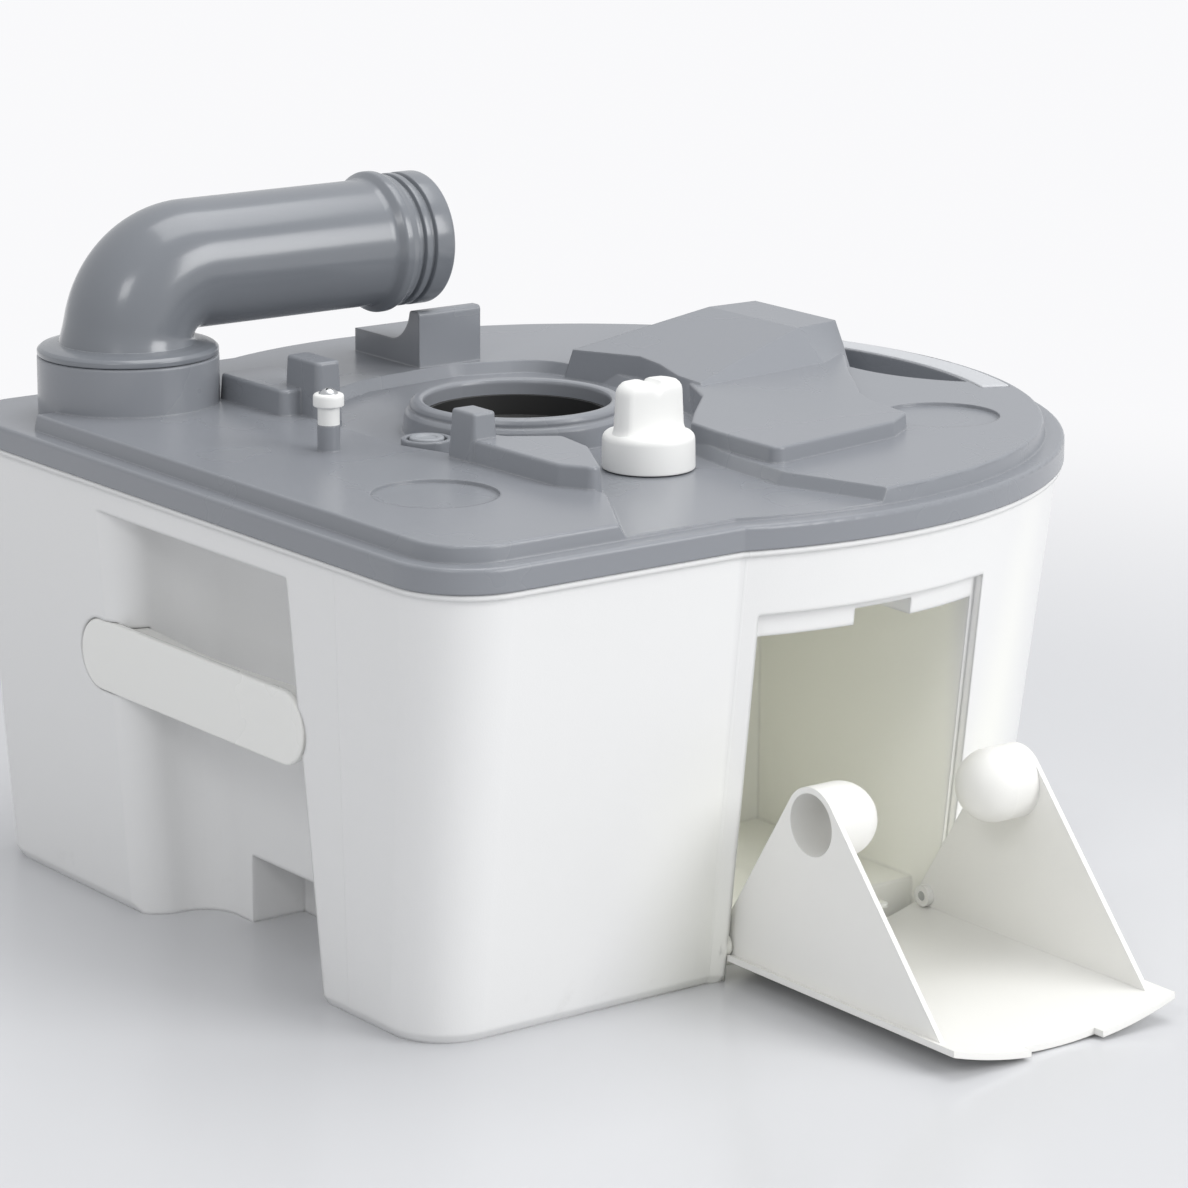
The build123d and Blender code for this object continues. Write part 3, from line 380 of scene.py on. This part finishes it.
class TANK_OT_finishes(bpy.types.Operator):
    """Makes the materials and gives them to the CAD nodes"""

    bl_idname = "tank.finishes"
    bl_label = "Finishes"

    def execute(self, context):
        """Builds each finish once and assigns it."""
        want = context.scene.tank_finish
        # Each finish's edge setting paints its edges paler: a painted edge highlight along with
        # wear
        finish = {
            "tank_white": plastic(
                "tank_white", want.tank_colour, 0.40, Edge_Radius=0.0025, Grain_Scale=1500.0,
                Grain_Height=0.35, Ripple_Height=0.14, Mottle=0.012, Edge_Wear=0.10,
            ),
            "cover_grey": plastic(
                "cover_grey", want.cover_colour, 0.27, Edge_Radius=0.0013, Grain_Scale=1800.0,
                Grain_Height=0.16, Ripple_Height=0.05, Mottle=0.03, Edge_Wear=0.07,
            ),
            "pale_grey": plastic(
                "pale_grey", want.pale_colour, 0.36, Edge_Radius=0.0006, Mottle=0.02,
            ),
            "cream_plastic": plastic(
                "cream_plastic", want.cream_colour, 0.26, 0.3, Edge_Radius=0.0012,
                Grain_Scale=1500.0, Grain_Height=0.12, Mottle=0.012,
            ),
            "flap_white": plastic(
                "flap_white", want.flap_colour, 0.38, Edge_Radius=0.0006, Grain_Scale=1700.0,
                Grain_Height=0.2, Mottle=0.02, Edge_Wear=0.2,
            ),
            "knob_white": plastic(
                "knob_white", want.knob_colour, 0.30, Edge_Radius=0.0012, Mottle=0.012,
            ),
            "blade_black": plastic(
                "blade_black", BLADE_BLACK, 0.35, Edge_Radius=0.0006, Mottle=0.05,
            ),
            "black_rubber": plastic(
                "black_rubber", RUBBER_BLACK, 0.55, Edge_Radius=0.0004, Mottle=0.1,
            ),
            "steel": zinc("steel"),
        }
        # Adds the painted light tint inside the paper compartment, with the seams and scuffs
        mark_tank_and_light(finish["tank_white"], want.room_light_tint)
        plastic(
            "spout_grey", want.spout_colour, 0.24, 0.35, Edge_Radius=0.0005, Grain_Scale=1800.0,
            Grain_Height=0.06, Ripple_Height=0.05, Mottle=0.03, Edge_Wear=0.16,
        )
        slots = {row["node"]: row["material_slot"] for row in frame["record"]["subparts"]}
        for name, node in frame["nodes"].items():
            node.data.materials.clear()
            node.data.materials.append(finish[slots[name]])
        return {"FINISHED"}


# Modelling helpers; sizes are in millimetres
def mm(*values):
    """Point in metres from millimetres."""
    return Vector(values) * MM


def shown(name, work, slot, body, nodes, crease=32.0, look=None):
    """Puts a finished bmesh in the scene in place of its CAD nodes."""
    bmesh.ops.remove_doubles(work, verts=work.verts, dist=1e-6)
    bmesh.ops.recalc_face_normals(work, faces=work.faces)
    mesh = bpy.data.meshes.new(name)
    work.to_mesh(mesh)
    work.free()
    if not mesh.polygons:
        raise RuntimeError(f"{name} came out empty")
    mesh.materials.append(bpy.data.materials[look or slot])
    mesh.shade_smooth()
    mesh.set_sharp_from_angle(angle=radians(crease))
    piece = bpy.data.objects.new(name, mesh)
    bpy.context.scene.collection.objects.link(piece)
    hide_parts(*nodes)
    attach(piece, body)
    return piece


def softened(points, closed=True, steps=4):
    """Profile of (x, y, round) points with each corner replaced by an arc."""
    least_sine, side_share = 0.05, 0.49
    made = []
    count = len(points)
    for at, (x, y, size) in enumerate(points):
        corner = Vector((x, y))
        if not size or (not closed and at in (0, count - 1)):
            made.append(corner)
            continue
        before = Vector(points[at - 1][:2]) - corner
        after = Vector(points[(at + 1) % count][:2]) - corner
        half = before.angle(after) / 2
        wanted = size / max(sin(half), least_sine) * cos(half)
        reach = min(wanted, before.length * side_share, after.length * side_share)
        first = corner + before.normalized() * reach
        last = corner + after.normalized() * reach
        for step in range(steps + 1):
            t = step / steps
            made.append(first * (1 - t) ** 2 + corner * 2 * t * (1 - t) + last * t ** 2)
    return made


def spun(points, axis_at, closed=True, steps=96):
    """Full turn of a (radius, height) profile about an upright axis."""
    work = bmesh.new()
    foot = mm(*axis_at, 0)
    dots = [work.verts.new(foot + SIDEWAYS * (p.x * MM) + UP * (p.y * MM)) for p in points]
    lines = [work.edges.new(pair) for pair in zip(dots, dots[1:])]
    if closed:
        lines.append(work.edges.new((dots[-1], dots[0])))
    bmesh.ops.spin(
        work, geom=dots + lines, cent=foot, axis=UP, angle=2 * pi, steps=steps,
        use_merge=True, use_duplicate=False,
    )
    return work


def drawn_out(work, stations):
    """Draws a ring of edges out through a row of placing matrices."""
    ring = list(work.edges)
    now = stations[0]
    for station in stations[1:]:
        made = bmesh.ops.extrude_edge_only(work, edges=ring)["geom"]
        dots = [part for part in made if isinstance(part, bmesh.types.BMVert)]
        lines = [part for part in made if isinstance(part, bmesh.types.BMEdge)]
        new = set(dots)
        ring = [line for line in lines if new.issuperset(line.verts)]
        bmesh.ops.transform(work, matrix=station @ now.inverted(), verts=dots)
        now = station


class TANK_OT_spout(bpy.types.Operator):
    """Swivelling spout: flange, elbow, bead, threaded mouth and its bore"""

    bl_idname = "tank.spout"
    bl_label = "Spout"

    def execute(self, context):
        """Draws one circle out along the pipe and back through the bore."""
        x, y = SPOUT_AXIS
        foot, clip_low, clip_high, seat = 190.5, 191.9, 195.3, 226.7
        turn_from, bend, level, mouth = 231.8, 31.0, 262.8, 1.0
        outside, inside = 28.5, 25.5
        spigot, clip_groove, flange, neck = 32.6, 31.2, 39.7, 30.4
        bead, collar, root = 31.9, 30.0, 28.2
        bend_steps, neck_steps, neck_swell = 24, 3.2, 1.9

        def upright(z, radius):
            return Matrix.Translation(mm(x, y, z)) @ Matrix.Scale(radius * MM, 4)

        def bent(angle, radius):
            place = mm(x, y - bend + bend * cos(angle), turn_from + bend * sin(angle))
            turn = Matrix.Rotation(angle, 4, "X")
            return Matrix.Translation(place) @ turn @ Matrix.Scale(radius * MM, 4)

        def along(at, radius):
            turn = Matrix.Rotation(pi / 2, 4, "X")
            return Matrix.Translation(mm(x, at, level)) @ turn @ Matrix.Scale(radius * MM, 4)

        stations = [upright(foot, spigot)]
        stations += [upright(clip_low, spigot), upright(clip_low, clip_groove)]
        stations += [upright(clip_high, clip_groove), upright(clip_high, spigot)]
        stations.append(upright(seat, spigot))
        rim = [(spigot, seat, 0), (flange, seat, 0.7), (flange, 229.0, 1.0)]
        rim += [(38.2, 230.3, 1.2), (34.5, 231.2, 1.5), (neck, turn_from, 0)]
        stations += [upright(p.y, p.x) for p in softened(rim, closed=False)[1:]]
        for step in range(1, bend_steps + 1):
            swell = neck_swell * max(0.0, 1 - step / neck_steps) ** 2
            stations.append(bent(radians(90 * step / bend_steps), outside + swell))
        stations += [along(at, outside) for at in (118, 95, 70, 50, 34.5)]
        ring = [(outside, 33.5, 0), (29.0, 31.5, 3.0), (bead, 28.6, 2.6), (bead, 25.0, 2.6)]
        ring += [(collar, 21.5, 2.0), (collar, 20.8, 0)]
        stations += [along(p.y, p.x) for p in softened(ring, closed=False, steps=6)]
        thread = [(collar, 20.2, 0.3), (collar, 19.5, 0.4), (root, 19.1, 0.3), (root, 17.4, 0.3)]
        thread += [(30.1, 16.9, 0.6), (30.1, 13.9, 0.6), (root, 13.4, 0.3), (root, 11.7, 0.3)]
        thread += [(30.2, 11.2, 0.7), (30.2, mouth, 2.6), (inside, mouth, 1.6), (inside, 14.0, 0)]
        stations += [along(p.y, p.x) for p in softened(thread, closed=False, steps=5)]
        stations += [along(at, inside) for at in (60, 118)]
        for step in range(bend_steps, -1, -1):
            stations.append(bent(radians(90 * step / bend_steps), inside))
        stations += [upright(210, inside), upright(foot, inside), upright(foot, spigot)]
        work = bmesh.new()
        bmesh.ops.create_circle(work, segments=96, radius=1.0, matrix=stations[0])
        drawn_out(work, stations)
        shown("spout_pipe", work, "cover_grey", "spout", ["pour_spout"], look="spout_grey")
        return {"FINISHED"}


class TANK_OT_knob(bpy.types.Operator):
    """Valve knob: round skirt and a finger grip with two lobes"""

    bl_idname = "tank.knob"
    bl_label = "Valve knob"

    def execute(self, context):
        """Spins the skirt and shapes the grip from a subdivided cube."""
        x, y = KNOB_AXIS
        foot, web, shoulder = 200.5, 210.5, 216.9
        shaft, hub, inside, outside = 4.6, 6.9, 17.0, 19.6
        skirt = [(shaft, foot, 0), (hub, foot, 0.3), (hub, web, 0.5), (inside, web, 1.5)]
        skirt += [(inside, foot, 0.3), (outside, foot, 0.8), (19.3, 215.2, 3.6)]
        skirt += [(13.0, shoulder, 1.0), (shaft, shoulder, 0)]
        work = spun(softened(skirt), KNOB_AXIS)
        made = bmesh.ops.create_cube(work, size=2.0)["verts"]
        lines = {line for dot in made for line in dot.link_edges}
        bmesh.ops.subdivide_edges(work, edges=list(lines), cuts=17, use_grid_fill=True)
        # The skirt is in metres and small, so the cube's points are the far ones
        grip = [dot for dot in work.verts if max(map(abs, dot.co)) > 0.9]

        low, high = 215.6, 237.5
        half_thick, half_long, taper = 7.7, 16.6, 0.07
        crown_from, crown_span, crown_drop = 0.78, 0.22, 0.30
        flare, flare_span = 0.05, 0.14
        notch, notch_half, rim_drop = 2.4, 0.24, 0.8
        for dot in grip:
            u, v, w = dot.co
            across = u * sqrt(1 - v * v / 2)
            along = v * sqrt(1 - u * u / 2) * 0.5 + v * 0.5
            rise = (w + 1) / 2
            crown = max(0.0, (rise - crown_from) / crown_span)
            draw = (1.0 - taper * rise) * sqrt(max(0.0, 1 - crown_drop * crown ** 2.6))
            spread = 1.0 + flare * max(0.0, 1 - rise / flare_span) ** 2
            dip = notch * max(0.0, 1 - (v / notch_half) ** 2) ** 1.2
            top = high - dip - rim_drop * max(abs(u), abs(v)) ** 6
            dot.co = mm(
                x + across * half_thick * draw * spread,
                y + along * half_long * draw * spread,
                low + (top - low) * rise,
            )
        shown("knob_turned", work, "knob_white", "valve", ["valve_knob"], crease=38)
        return {"FINISHED"}


class TANK_OT_stud(bpy.types.Operator):
    """Flanged bush of the latch stud"""

    bl_idname = "tank.stud"
    bl_label = "Latch stud"

    def execute(self, context):
        """Spins the bush's section."""
        foot, neck, top = 216.4, 224.0, 229.5
        hole, barrel, head = 2.0, 4.6, 6.5
        bush = [(hole, foot, 0), (barrel, foot, 0), (barrel, neck, 0.5)]
        bush += [(head, 224.1, 0.7), (head, top, 1.6), (hole, top, 0)]
        work = spun(softened(bush), STUD_AXIS, steps=64)
        shown("stud_bush", work, "knob_white", "tank", ["latch_stud"])
        return {"FINISHED"}


class TANK_OT_front_grip(bpy.types.Operator):
    """Arched insert beside the front finger pocket"""

    bl_idname = "tank.front_grip"
    bl_label = "Front grip"

    def execute(self, context):
        """Spins a soft cornered section through the arch and rounds its ends."""
        inner, outer, low, high = 180.4, 193.6, 203.5, 205.9
        corner, end_round = 1.0, 0.8
        half = radians(22.0)
        section = softened([
            (inner, low, 0), (outer, low, 0), (outer, high, corner), (inner, high, corner),
        ])
        work = bmesh.new()
        out = Vector((-sin(half), -cos(half), 0))
        first = work.faces.new(
            [work.verts.new(out * (p.x * MM) + mm(0, 0, p.y)) for p in section]
        )
        made = bmesh.ops.spin(
            work, geom=[first], cent=(0, 0, 0), axis=UP, angle=2 * half, steps=48,
            use_duplicate=False,
        )["geom_last"]
        ends = [part for part in made if isinstance(part, bmesh.types.BMFace)] + [first]
        rims = {line for face in ends if face.is_valid for line in face.edges}
        bmesh.ops.bevel(
            work, geom=list(rims), offset=end_round * MM, segments=3, profile=0.5,
            affect="EDGES", material=-1,
        )
        shown("front_grip_arch", work, "pale_grey", "tank", ["front_grip"])
        return {"FINISHED"}


class TANK_OT_vent(bpy.types.Operator):
    """Vent plunger with a dished, chamfered button"""

    bl_idname = "tank.vent"
    bl_label = "Vent plunger"

    def execute(self, context):
        """Spins the plunger's section."""
        foot, collar, under, top, dish = 184.4, 186.0, 204.4, 207.6, 206.9
        stem, plate, button = 2.4, 4.8, 7.4
        plunger = [(0, foot, 0), (plate, foot, 0.2), (plate, collar, 0.2), (stem, collar, 0)]
        plunger += [(stem, under, 0.4), (button, under, 0.3), (button, top, 1.0)]
        plunger += [(4.6, 207.5, 0.5), (4.0, dish, 0.4), (0, dish, 0)]
        work = spun(softened(plunger, closed=False), VENT_AXIS, closed=False)
        shown("vent_button", work, "cover_grey", "vent", ["vent_plunger"])
        return {"FINISHED"}


class TANK_OT_spring(bpy.types.Operator):
    """Return spring of the vent plunger"""

    bl_idname = "tank.spring"
    bl_label = "Vent spring"

    def execute(self, context):
        """Spins a ring of edges up a helix."""
        foot, rise, travel = 194.0, 9.9, 3.5
        turns, turn_steps, wire_radius, coil_radius = 5, 32, 0.45, 4.1
        x, y = VENT_AXIS
        steps = turn_steps * turns
        work = bmesh.new()
        place = Matrix.Translation(mm(x + coil_radius, y, foot))
        bmesh.ops.create_circle(
            work, cap_ends=True, segments=10, radius=wire_radius * MM,
            matrix=place @ Matrix.Rotation(pi / 2, 4, "X"),
        )
        bmesh.ops.spin(
            work, geom=list(work.verts) + list(work.edges) + list(work.faces),
            cent=mm(x, y, 0), axis=UP, dvec=mm(0, 0, rise / steps),
            angle=2 * pi * turns, steps=steps, use_duplicate=False,
        )
        spring = shown("spring_coil", work, "steel", "tank", ["vent_spring"], crease=60)
        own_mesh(spring)
        return {"FINISHED"}


class TANK_OT_rear_grip(bpy.types.Operator):
    """Bar of the rear grip, thick at its ends and hollowed behind the fingers"""

    bl_idname = "tank.rear_grip"
    bl_label = "Rear grip bar"

    def execute(self, context):
        """Shapes a subdivided block into a bar with round ends and a concave back."""
        near, far, height, level = -90.0, 66.0, 27.0, 111.5
        front, back = 206.6, 195.6
        waist_depth, waist_half, edge_round = 4.2, 58.0, 1.1
        middle, half = (near + far) / 2, (far - near) / 2
        rise = height / 2
        straight = half - rise
        work = bmesh.new()
        bmesh.ops.create_cube(work, size=2.0)
        bmesh.ops.subdivide_edges(work, edges=work.edges, cuts=31, use_grid_fill=True)
        for dot in work.verts:
            u, v, w = dot.co
            x = u * half
            over = max(0.0, abs(x) - straight) / rise
            z = w * rise * sqrt(max(0.0, 1 - over * over))
            waist = waist_depth * cos(min(1.0, abs(x) / waist_half) * pi / 2) ** 1.2
            hollow = back + waist + edge_round * abs(w) ** 8
            depth = (v + 1) / 2
            dot.co = mm(middle + x, hollow + (front - hollow) * depth, level + z)
        shown("grip_bar_waisted", work, "cream_plastic", "tank", ["rear_grip_bar"], crease=42)
        return {"FINISHED"}


class TANK_OT_stage(bpy.types.Operator):
    """Floor, soft lamps, world and camera"""

    bl_idname = "tank.stage"
    bl_label = "Stage"

    def execute(self, context):
        """Makes the studio round the tank."""
        self.make_floor(context.scene)
        self.make_world(context.scene)
        self.make_lamps(context.scene)
        self.make_camera(context.scene)
        context.scene.view_settings.view_transform = "Standard"
        return {"FINISHED"}

    def make_floor(self, scene):
        """Pale, slightly glossy floor that turns white away from the tank."""
        plain_within, white_from = 0.30, 1.05
        work = bmesh.new()
        bmesh.ops.create_grid(work, x_segments=2, y_segments=2, size=6.0)
        mesh = bpy.data.meshes.new("studio_floor")
        work.to_mesh(mesh)
        work.free()
        floor = bpy.data.objects.new("studio_floor", mesh)
        scene.collection.objects.link(floor)
        material = bpy.data.materials.new("studio_floor")
        material.use_nodes = True
        tree = material.node_tree
        shader = tree.nodes["Principled BSDF"]
        shader.inputs["Base Color"].default_value = scene.tank_finish.floor_colour
        shader.inputs["Roughness"].default_value = 0.22
        shader.inputs["Specular IOR Level"].default_value = 0.35
        length = put(tree, "ShaderNodeVectorMath", operation="LENGTH")
        feed(tree, put(tree, "ShaderNodeTexCoord").outputs["Object"], length.inputs[0])
        away = step_mask(tree, length.outputs["Value"], plain_within, white_from)
        path = put(tree, "ShaderNodeLightPath").outputs
        seen = maths(tree, "MAXIMUM", path["Is Camera Ray"], path["Is Glossy Ray"])
        glow = put(tree, "ShaderNodeEmission", Color=STUDIO_WHITE, Strength=1.0)
        mix = put(tree, "ShaderNodeMixShader")
        sources = (both(tree, away, seen), shader.outputs[0], glow.outputs[0])
        for source, target in zip(sources, mix.inputs):
            feed(tree, source, target)
        feed(tree, mix.outputs[0], tree.nodes["Material Output"].inputs["Surface"])
        mesh.materials.append(material)

    def make_world(self, scene):
        """Soft white surroundings, plain white where the camera sees them."""
        world = bpy.data.worlds.new("studio")
        world.use_nodes = True
        tree = world.node_tree
        soft = tree.nodes["Background"]
        soft.inputs["Color"].default_value = (0.97, 0.98, 1.0, 1)
        soft.inputs["Strength"].default_value = 0.70
        plain = put(tree, "ShaderNodeBackground", Color=STUDIO_WHITE, Strength=1.0)
        path = put(tree, "ShaderNodeLightPath").outputs
        mix = put(tree, "ShaderNodeMixShader")
        sources = (path["Is Camera Ray"], soft.outputs[0], plain.outputs[0])
        for source, target in zip(sources, mix.inputs):
            feed(tree, source, target)
        feed(tree, mix.outputs[0], tree.nodes["World Output"].inputs["Surface"])
        scene.world = world

    def make_lamps(self, scene):
        """Large soft lamps, each with its place in metres, width and power."""
        lit_point = Vector((0, 0.03, 0.12))
        lamps = [
            ("key_lamp", (-2.0, -0.95, 1.25), 1.2, 27.0),
            ("top_lamp", (0.0, -0.4, 2.1), 1.4, 17.0),
            ("window_lamp", (-0.9, 1.45, 1.35), 0.5, 4.0),
        ]
        for name, place, width, power in lamps:
            light = bpy.data.lights.new(name, "AREA")
            light.shape = "SQUARE"
            light.size = width
            light.energy = power
            lamp = bpy.data.objects.new(name, light)
            lamp.location = place
            aim = lit_point - Vector(place)
            lamp.rotation_euler = aim.to_track_quat("-Z", "Y").to_euler()
            scene.collection.objects.link(lamp)

    def make_camera(self, scene):
        """Long lens at the photograph's angle."""
        want = scene.tank_stage
        aim = Vector(want.camera_aim).normalized()
        right = aim.cross(UP).normalized()
        up = right.cross(aim)
        turn = Matrix.Rotation(-want.camera_roll, 3, aim)
        right, up = turn @ right, turn @ up
        lens = bpy.data.cameras.new("photo_camera")
        lens.lens = want.camera_lens
        lens.sensor_width = 36.0
        lens.clip_start = 0.1
        lens.clip_end = 50.0
        camera = bpy.data.objects.new("photo_camera", lens)
        turned = Matrix((right, up, -aim)).transposed().to_4x4()
        camera.matrix_world = Matrix.Translation(want.camera_place) @ turned
        scene.collection.objects.link(camera)
        scene.camera = camera


operators = (
    TANK_OT_finishes,
    TANK_OT_spout,
    TANK_OT_knob,
    TANK_OT_stud,
    TANK_OT_front_grip,
    TANK_OT_vent,
    TANK_OT_spring,
    TANK_OT_rear_grip,
    TANK_OT_stage,
)


class TANK_PT_sidebar(bpy.types.Panel):
    """Lists the tank's steps and settings"""

    bl_idname = "TANK_PT_sidebar"
    bl_label = "Holding tank"
    bl_space_type = "VIEW_3D"
    bl_region_type = "UI"
    bl_category = "Tank"

    def draw(self, context):
        """Draws one button for each step, and the settings."""
        for step in operators:
            self.layout.operator(step.bl_idname)
        for group in (context.scene.tank_finish, context.scene.tank_stage):
            for name in group.__annotations__:
                self.layout.prop(group, name)


classes = (FinishSettings, StageSettings, *operators, TANK_PT_sidebar)


def register():
    """Registers the classes and their settings."""
    for cls in classes:
        bpy.utils.register_class(cls)
    bpy.types.Scene.tank_finish = bpy.props.PointerProperty(type=FinishSettings)
    bpy.types.Scene.tank_stage = bpy.props.PointerProperty(type=StageSettings)


def unregister():
    """Takes the classes and their settings out again."""
    del bpy.types.Scene.tank_stage
    del bpy.types.Scene.tank_finish
    for cls in reversed(classes):
        bpy.utils.unregister_class(cls)


def main():
    """Runs every step in order."""
    register()
    for step in operators:
        group, name = step.bl_idname.split(".")
        getattr(getattr(bpy.ops, group), name)()


if __name__ == "__main__":
    main()
